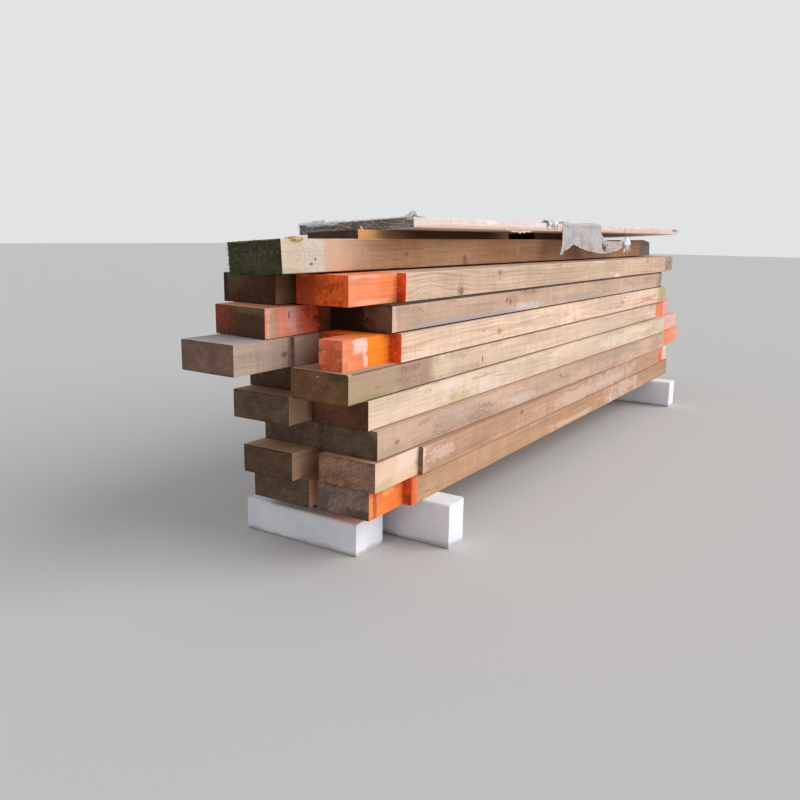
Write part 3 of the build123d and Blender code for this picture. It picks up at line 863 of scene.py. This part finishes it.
def film_material(name, milk, colour, stretch, creased):
    """Stretch film: milky by a share, and whiter along its creases and seen edge-on."""
    material, tree, surface = new_material(name, 0.35, 0.5)
    position = tree.place()
    bent = tree.noise(position, scale=9.0, detail=2.0, output="Color")
    bent = tree.vector("MULTIPLY_ADD", bent, (0.05, 0.05, 0.05), position)
    crease = tree.noise(bent, stretch, detail=3.0, roughness=0.6)
    fine = tree.noise(bent, stretch, scale=2.7, detail=3.0, roughness=0.6)
    lines = tree.math("MAXIMUM", tree.band(crease, 0.5, 0.05), tree.times(tree.band(fine, 0.52, 0.05), 0.6))
    surface.inputs["Base Color"].default_value = rgb(colour)
    clear = tree.node("ShaderNodeBsdfTransparent")
    rim = tree.node("ShaderNodeLayerWeight")
    rim.inputs["Blend"].default_value = 0.3
    cover = tree.scaled(rim.outputs["Facing"], 0.3, tree.scaled(lines, creased, milk))
    cover = tree.math("MULTIPLY", cover, tree.span(crease, 0.3, 0.6, 0.82, 1.0), clamp=True)
    blend = tree.fed("ShaderNodeMixShader", (cover, clear.outputs[0], surface.outputs[0]))
    tree.feed(material.node_tree.nodes["Material Output"].inputs["Surface"], blend.outputs[0])
    tree.feed(surface.inputs["Normal"], tree.bump(tree.scaled(fine, 0.2, crease), 0.003, 0.5))
    return material


def on_panel(along, across, above):
    """A place on the panel: distance from its near end, back from its front edge, and over its top."""
    low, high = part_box("top_panel")
    edge = Vector((low.x + along, low.y + PANEL_THICKNESS * math.sin(LEAN), high.z))
    return edge + across * LEAN_BACK + above * LEAN_UP


def over_edge(along, run, out):
    """A place on film folded over the panel's front edge. run is the way along
    the film from the panel's underside: up its edge, and then over its top."""
    turn = math.pi / 2 * max(0.0, min(1.0, (PANEL_THICKNESS + 0.006 - run) / 0.012))
    point = on_panel(along, max(0.0, run - PANEL_THICKNESS), -max(0.0, PANEL_THICKNESS - max(run, 0.0)))
    point.z += min(run, 0.0)
    return point + out * (math.cos(turn) * LEAN_UP - math.sin(turn) * LEAN_BACK)


def wander(x, y, z=0.0):
    """Smooth noise from -1 to 1."""
    return noise.noise(Vector((x, y, z)))


def profile(points, x):
    """A value read off straight runs between (x, value) points."""
    for (x0, value0), (x1, value1) in zip(points, points[1:]):
        if x <= x1:
            return value0 + (value1 - value0) * max(0.0, x - x0) / (x1 - x0)
    return points[-1][1]


def hump(value, middle, width):
    """A smooth hump of height 1 round a middle."""
    return math.exp(-((value - middle) / width) ** 2)


def new_piece(name, points, faces, material, smooth=True):
    """A mesh piece with one material."""
    mesh = bpy.data.meshes.new(name)
    mesh.from_pydata(points, [], faces)
    mesh.polygons.foreach_set("use_smooth", [smooth] * len(faces))
    mesh.materials.append(material)
    piece = bpy.data.objects.new(name, mesh)
    bpy.context.collection.objects.link(piece)
    return piece


def film_sheet(name, columns, rows, place, material, keep=None):
    """A sheet made from place(u, v), with u and v from 0 to 1 along and across it."""
    points = [place(i / columns, j / rows) for j in range(rows + 1) for i in range(columns + 1)]
    faces = []
    for j in range(rows):
        for i in range(columns):
            if keep is None or keep((i + 0.5) / columns, (j + 0.5) / rows):
                a = j * (columns + 1) + i
                faces.append((a, a + 1, a + columns + 2, a + columns + 1))
    return new_piece(name, points, faces, material)


# The flap: where it starts along the panel, then in mm from there and from the
# panel's underside, how far its film reaches up and how far its torn end hangs
FLAP_START = 1.122
FLAP_UPPER = [(-27, -94), (-3, -4), (0, 32), (6, 70), (60, 84), (150, 74), (300, 92),
              (400, 66), (438, 50), (452, 30), (456, 0), (485, -28), (539, -38), (678, -41), (747, -32),
              (804, -14), (838, -44)]
FLAP_LOWER = [(-27, -95), (-12, -92), (0, -88), (38, -74), (80, -58), (109, -52), (177, -64),
              (295, -79), (420, -92), (537, -93), (630, -85), (727, -70), (780, -62), (838, -52)]
FLAP_KNOT = (806, -48)


def film_flap(film, hem):
    """The torn film that laps onto the panel and hangs over its front edge."""
    start, end = FLAP_UPPER[0][0], FLAP_UPPER[-1][0]

    def place(u, v):
        along = start + (end - start) * u
        ragged = 4 * wander(u * 40, 1) + 2.5 * wander(u * 110, 2)
        rough = 5 * wander(u * 40, 5) if 0 < along < 440 else 2 * wander(u * 60, 5)
        upper, lower = profile(FLAP_UPPER, along), profile(FLAP_LOWER, along)
        run = upper + (min(lower, upper - 1) - upper) * v + rough * (1 - v) ** 6 + ragged * v ** 6
        hang = min(1.0, max(0.0, -run) / 70)
        fold = math.sin((along + 0.9 * run) / 42 + 1.8 * wander(along / 90, run / 60))
        fold += 0.25 * math.sin((along - 0.8 * run) / 15 + 2 * wander(along / 45, run / 40, 4))
        tail = 1 / (1 + math.exp(-(along - 480) / 20))
        out = 2 + hang * (6 + 4.5 * fold) + 8 * hump(along, -8, 14) * hang
        out += 2.0 * abs(wander(along / 40, run / 30, 7))
        crumple = 3 + 8 * abs(wander(along / 40, run / 11, 5)) + 3 * abs(wander(along / 12, run / 5, 8))
        out += tail * crumple
        if run > 18:
            out += (6 * hump(along, 330, 110) * hump(run, 38, 18)
                    + 8 * hump(along, 40, 40) * hump(run, 40, 16))
        return over_edge(FLAP_START + along * MM, run * MM, out * MM)

    def keep(u, v):
        along = start + (end - start) * u
        return not (470 < along < 520 and 0.45 < v + 0.2 * wander(along / 9, v * 4) < 0.8)

    piece = film_sheet("torn_film_flap", 240, 44, place, film, keep)
    piece.data.materials.append(hem)
    for face in piece.data.polygons:
        spot = face.center.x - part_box("top_panel")[0].x - FLAP_START
        drop = (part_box("top_panel")[1].z - PANEL_THICKNESS - face.center.z) / MM
        lower = -profile(FLAP_LOWER, spot / MM)
        torn_hem = drop > lower - 3 + 9 * wander(spot * 30, 3)
        near_hem = spot < -0.004 and drop > 20 and spot / MM < -0.16 * drop - 4
        if torn_hem or near_hem:
            face.material_index = 1
    return piece


# The flap's bunched end: its half sizes, its mesh, and the strands under it
TASSEL_RADII = (0.046, 0.012, 0.027)
TASSEL_RINGS, TASSEL_SIDES = 18, 20
STRANDS, STRAND_STEPS = 7, 10
STRAND_GAP = 0.013


def ribbon(base, steps):
    """The faces of a strip whose points come in pairs."""
    return [(a, a + 1, a + 3, a + 2) for a in range(base, base + 2 * steps, 2)]


def film_tassel(film):
    """The bunched end of the flap, with torn strands hanging from it."""
    centre = over_edge(FLAP_START + FLAP_KNOT[0] * MM, FLAP_KNOT[1] * MM, 0.012)
    points, faces = [], []
    rings, sides = TASSEL_RINGS, TASSEL_SIDES
    long, deep, tall = TASSEL_RADII
    for j in range(rings + 1):
        lift = math.pi * j / rings
        for i in range(sides):
            turn = 2 * math.pi * i / sides
            x, y, z = math.sin(lift) * math.cos(turn), math.sin(lift) * math.sin(turn), math.cos(lift)
            rough = 1 + 0.45 * wander(x * 2.2, y * 2.2, z * 2.2) + 0.25 * wander(x * 6, y * 6, z * 3)
            narrow = 1.0 - 0.6 * z if z > 0 else 1.0
            points.append(centre + Vector((x * long * narrow, y * deep * narrow, z * tall)) * rough)
    for j in range(rings):
        for i in range(sides):
            a, b = j * sides + i, j * sides + (i + 1) % sides
            if j == 0:
                faces.append((a, b + sides, a + sides))
            elif j == rings - 1:
                faces.append((a, b, a + sides))
            else:
                faces.append((a, b, b + sides, a + sides))
    random.seed(7)
    for strand in range(STRANDS):
        side = (strand - STRANDS // 2) * STRAND_GAP
        length = 0.030 + 0.034 * random.random()
        base = len(points)
        for k in range(STRAND_STEPS + 1):
            t = k / STRAND_STEPS
            x = side * (0.6 + 1.1 * t) + 0.006 * math.sin(5 * t + strand)
            spot = centre + Vector((x, -0.004 * math.sin(3 * t + strand), -0.012 - length * t))
            half = (0.0035 - 0.0028 * t) * (1 + 0.4 * math.sin(strand))
            points += [spot - Vector((half, 0, 0)), spot + Vector((half, 0.0015 * math.sin(9 * t), 0))]
        faces += ribbon(base, STRAND_STEPS)
    return new_piece("torn_film_tassel", points, faces, film)


# Strands on the panel's near end, in mm back from its front edge and below its top
THREADS = [
    [(414, 4), (404, 16), (392, 27), (372, 36), (347, 38)],
    [(410, 9), (398, 22), (384, 29), (366, 33), (338, 31)],
    [(312, 18), (299, 12), (271, 8), (243, 10), (208, 21)],
    [(368, 20), (337, 20), (306, 19), (278, 21), (250, 17), (222, 17)],
    [(347, 38), (330, 41), (309, 42), (290, 40)],
    [(298, 33), (286, 25), (266, 22), (236, 24), (214, 33)],
    [(200, 25), (165, 21), (122, 25), (87, 22), (52, 26), (6, 21)],
    [(60, 6), (35, 11), (4, 24)],
    [(110, 7), (84, 13), (40, 17), (8, 29)],
]


def film_wrap(clear, milky):
    """Film gathered over the panel's near end, bunched up at its back corner."""
    def place(u, v):
        across = PANEL_WIDTH * (1.02 * u - 0.01)
        bunch = hump(across, 0.345, 0.06)
        peak = hump(across, 0.0, 0.020)
        lap = 0.052 + 0.022 * wander(u * 7, 4) + 0.020 * bunch + 0.014 * peak
        rise = max(0.0, min(1.0, (across - 0.24) / 0.07))
        outer = 0.003 + 0.026 * rise * (0.8 + 0.25 * math.sin(across * 110))
        s = (lap + PANEL_THICKNESS + outer) * v
        crease = 0.0006 + 0.0016 * abs(wander(u * 14, v * 4, 9))
        rumple = 0.004 + 0.011 * abs(wander(u * 26, v * 7, 1)) + 0.007 * abs(wander(u * 60, v * 16, 2))
        crease += bunch * rumple
        crease += hump(s, lap, 0.010) * (0.0012 + 0.014 * peak + 0.001 * wander(u * 14, 3))
        if s < lap:
            return on_panel(lap - s, across, crease)
        down = s - lap
        slack = 0.012 * max(0.0, down - PANEL_THICKNESS) / 0.03
        return on_panel(-0.001 - crease * 0.7 - slack * (1 + math.sin(across * 90)), across, -down)

    piece = film_sheet("torn_film_wrap", 170, 40, place, clear)
    piece.data.materials.append(milky)
    edge = on_panel(0, 0, 0)
    for face in piece.data.polygons:
        away = face.center - edge
        across, above = away.dot(LEAN_BACK), away.dot(LEAN_UP)
        bunched = hump(across, 0.335, 0.075) + 1.2 * hump(across, 0.0, 0.024)
        ridge_highlight = above > -0.002 and away.x < 0.002
        # Faces along the panel's top edge get the white film as a painted highlight of the fold; where the
        # film bunches, the white is its own
        if ridge_highlight or above > -0.008 and bunched + 0.5 * wander(across * 60, away.x * 90, above * 90) > 0.62:
            face.material_index = 1
    return piece


def film_threads(film):
    """Drawn-out strands of film that cross the panel's near end and hang from it."""
    points, faces = [], []
    for strand in THREADS:
        steps = 8 * (len(strand) - 1)
        base = len(points)
        for k in range(steps + 1):
            across = strand[0][0] + (strand[-1][0] - strand[0][0]) * k / steps
            ordered = sorted(strand)
            below = sum(profile(ordered, across + shift) for shift in (-8, -3, 3, 8)) / 4
            half = 0.55 + 0.6 * wander(across / 20, below / 20)
            for side in (-half, half):
                points.append(on_panel(-0.005, across * MM, (side - below) * MM))
        faces += ribbon(base, steps)
    return new_piece("torn_film_threads", points, faces, film)


def film_scrap(film):
    """A crumpled scrap of film caught on the panel's front edge."""
    low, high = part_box("film_scrap")
    start = low.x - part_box("top_panel")[0].x
    length = high.x - low.x

    def place(u, v):
        along = start + length * (u + 0.03 * wander(u * 4, v * 9))
        run = 0.068 - (0.062 + 0.012 * wander(u * 9, 8)) * v
        stand = hump(run, 0.032, 0.015) * (0.004 + 0.014 * abs(wander(u * 6, 2, 11)))
        return over_edge(along, run, 0.001 + stand + 0.006 * abs(wander(u * 11, v * 8, 5)))

    def keep(u, v):
        return v < 0.85 + 0.4 * wander(u * 8, 3, 3) and 0.05 < u + 0.1 * wander(v * 8, 1, 1) < 0.95

    return film_sheet("torn_film_scrap", 60, 34, place, film, keep)


def make_film():
    """The three pieces of film take the places of their plain nodes."""
    milky = film_material("torn_film_milky", 0.74, 0xBAB2B0, (10, 10, 10), 0.14)
    clear = film_material("torn_film_clear", 0.12, 0xE2DCDC, (12, 7, 26), 0.25)
    white = film_material("torn_film_bunched_and_highlight", 0.8, 0xE8E8E6, (40, 40, 40), 0.2)
    hem = film_material("torn_film_hem", 0.72, 0xD4CDCA, (30, 30, 30), 0.2)
    tassel = film_tassel(white)
    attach(tassel, "root")
    threads = film_threads(hem)
    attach(threads, "root")
    flap, wrap, scrap = film_flap(milky, hem), film_wrap(clear, white), film_scrap(white)
    films = ((flap, "film_flap", [tassel]), (wrap, "film_wrap", [threads]), (scrap, "film_scrap", []))
    for piece, node, extra in films:
        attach(piece, "root")
        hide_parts(node)
        low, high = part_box(node)
        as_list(extra)


def ragged_solid(name, outline, thickness, material):
    """A thin splinter of wood, from its outline on one plane and a thickness."""
    points = list(outline) + [point + Vector((0, thickness, 0)) for point in outline]
    count = len(outline)
    faces = [tuple(range(count)), tuple(reversed(range(count, 2 * count)))]
    faces += [(i, (i + 1) % count, (i + 1) % count + count, i + count) for i in range(count)]
    piece = new_piece(name, points, faces, material, smooth=False)
    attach(piece, "root")
    return piece


def mottled(name, roughness, dark, pale, low=0.35, high=0.65, specular=0.25, **pattern):
    """A material that clouds from dark to pale, with its noise."""
    material, tree, surface = new_material(name, roughness, specular)
    cloud = tree.noise(tree.place(), **pattern)
    tree.feed(surface.inputs["Base Color"], tree.mix(tree.span(cloud, low, high), dark, pale))
    return material, tree, surface, cloud


# The strip torn from the panel's underside: along the panel, and up from that side
SPLINTER = [(0.600, 0.0015), (0.860, 0.0015), (0.855, -0.001), (0.82, -0.003), (0.80, -0.007),
            (0.775, -0.004), (0.765, -0.010), (0.742, -0.006), (0.725, -0.012), (0.70, -0.006),
            (0.67, -0.008), (0.64, -0.003), (0.61, -0.002)]
SPLINTER_THICKNESS = 0.0025

# The sliver on the near board: along and up from its foot, and where that is,
# in from the board's near end, its front and its top
SLIVER = [(0, 0), (0.010, 0), (0.006, 0.005), (0.001, 0.010), (-0.006, 0.013), (-0.003, 0.006)]
SLIVER_INSET = (0.022, 0.004, 0.003)
SLIVER_THICKNESS = 0.002

# The lump: where its middle is, in from the top beam's near end, front and
# top, and its half sizes. The moss: how many tufts, and the sides of each
LUMP_INSET = (0.058, 0.010, 0.001)
LUMP_RADII = (0.031, 0.012, 0.0065)
MOSS_TUFTS = 190
MOSS_SIDES = 5


def inset(name, place):
    """A place in from a node's near end, its front and its top."""
    low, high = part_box(name)
    return Vector((low.x + place[0], low.y + place[1], high.z - place[2]))


def make_splinters():
    """Torn wood: a strip hanging from the panel's underside, and a sliver on the near board's end."""
    material, *_ = mottled("torn_wood", 0.85, 0xC49C82, 0xECCEB4, 0.3, 0.7, stretch=(14, 200, 260),
                           detail=3.0)
    outline = [over_edge(x, z, -0.002) for x, z in SPLINTER]
    ragged_solid("panel_splinter", outline, SPLINTER_THICKNESS, material)
    foot = inset("under_board_near", SLIVER_INSET)
    outline = [foot + Vector((x, 0, z)) for x, z in SLIVER]
    ragged_solid("board_sliver", outline, SLIVER_THICKNESS, material)


def make_lump():
    """A dried lump of fungus on the top beam's near front corner."""
    material, tree, surface, cloud = mottled("dried_lump", 0.85, 0xB88448, 0xE8C892, scale=160.0,
                                             detail=4.0)
    tree.feed(surface.inputs["Normal"], tree.bump(cloud, 0.002))
    bpy.ops.mesh.primitive_ico_sphere_add(subdivisions=5, radius=1.0)
    lump = bpy.context.object
    lump.name = "dried_lump"
    centre = inset("beam_top", LUMP_INSET)
    long, deep, tall = LUMP_RADII
    for vertex in lump.data.vertices:
        p = vertex.co.copy()
        broad, fine = wander(p.x * 2.5, p.y * 2.5, p.z * 2.5), wander(p.x * 8, p.y * 8, p.z * 8)
        rough = 1 + 0.30 * broad + 0.14 * fine
        vertex.co = centre + Vector((p.x * long, p.y * deep, p.z * tall)) * rough
    for face in lump.data.polygons:
        face.use_smooth = True
    lump.data.materials.append(material)
    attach(lump, "root")


def make_moss():
    """Crusts of moss round the top beam's near end."""
    random.seed(11)
    material, *_ = mottled("moss", 0.95, 0x363A22, 0x70724C, specular=0.1, scale=220.0, detail=3.0)
    corner, _ = timber_place("beam_top")
    points, faces = [], []
    while len(faces) < MOSS_SIDES * MOSS_TUFTS:
        across, height = random.random(), random.random()
        border = min(height, 1 - height, across * 2.1, (1 - across) * 2.1)
        if random.random() < 7 * border:
            continue
        size = 0.0006 + 0.0014 * random.random() ** 2
        spot = corner + LEAN_BACK * (TOP_BEAM_WIDTH * across) + LEAN_UP * (TOP_BEAM_THICKNESS * height)
        base = len(points)
        for k in range(MOSS_SIDES):
            turn = 2 * math.pi * k / MOSS_SIDES + random.random()
            reach = size * (0.8 + 0.5 * random.random())
            points.append(spot + Vector((0.0006, reach * math.cos(turn), reach * math.sin(turn))))
        tip = Vector((-size * 1.6, size * (random.random() - 0.5), size * (random.random() - 0.3)))
        points.append(spot + tip)
        top = base + MOSS_SIDES
        faces += [(base + k, base + (k + 1) % MOSS_SIDES, top) for k in range(MOSS_SIDES)]
    piece = new_piece("moss", points, faces, material)
    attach(piece, "root")


def make_stage():
    """A plain pale floor under the stack."""
    bpy.ops.mesh.primitive_plane_add(size=FLOOR_SIZE)
    floor = bpy.context.object
    floor.name = "floor"
    material, _, surface = new_material("floor", 0.9, 0.1)
    surface.inputs["Base Color"].default_value = rgb(FLOOR_COLOUR)
    floor.data.materials.append(material)


def make_light():
    """Soft daylight from the front, and a pale sky."""
    world = bpy.data.worlds.new("sky")
    bpy.context.scene.world = world
    world.use_nodes = True
    tree = Tree(world.node_tree)
    sky = world.node_tree.nodes["Background"]
    sky.inputs["Color"].default_value = SKY_COLOUR
    sky.inputs["Strength"].default_value = SKY_STRENGTH
    seen = tree.node("ShaderNodeBackground")
    seen.inputs["Color"].default_value = rgb(BACKGROUND)
    path = tree.node("ShaderNodeLightPath").outputs
    looking = tree.math("MAXIMUM", path["Is Glossy Ray"], path["Is Transmission Ray"])
    looking = tree.math("MAXIMUM", path["Is Camera Ray"], looking)
    blend = tree.fed("ShaderNodeMixShader", (looking, sky.outputs[0], seen.outputs[0]))
    tree.feed(world.node_tree.nodes["World Output"].inputs["Surface"], blend.outputs[0])
    lamp = bpy.data.lights.new("daylight", "SUN")
    lamp.energy = SUN_STRENGTH
    lamp.angle = SUN_SPREAD
    sun = bpy.data.objects.new("daylight", lamp)
    sun.rotation_euler = SUN_FROM.to_track_quat("Z", "Y").to_euler()
    bpy.context.collection.objects.link(sun)


def make_camera():
    """The photograph's camera."""
    pitch, heading = CAMERA_PITCH, CAMERA_HEADING
    forward = Vector((math.cos(pitch) * math.cos(heading), math.cos(pitch) * math.sin(heading),
                      -math.sin(pitch)))
    level = Vector((math.sin(heading), -math.cos(heading), 0.0))
    upright = level.cross(forward)
    right = level * math.cos(CAMERA_ROLL) + upright * math.sin(CAMERA_ROLL)
    top = upright * math.cos(CAMERA_ROLL) - level * math.sin(CAMERA_ROLL)
    data = bpy.data.cameras.new("camera")
    data.lens = CAMERA_LENS
    data.sensor_width = SENSOR_WIDTH
    camera = bpy.data.objects.new("camera", data)
    turn = Matrix((right, top, -forward)).transposed()
    camera.matrix_world = Matrix.Translation(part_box("beam_front_3")[0] + CAMERA_OFFSET) @ turn.to_4x4()
    bpy.context.collection.objects.link(camera)
    bpy.context.scene.camera = camera


bpy.context.scene.view_settings.view_transform = "Standard"
make_camera()
make_stage()
make_light()
dress_timber()
dress_bearers()
make_film()
make_splinters()
make_lump()
make_moss()
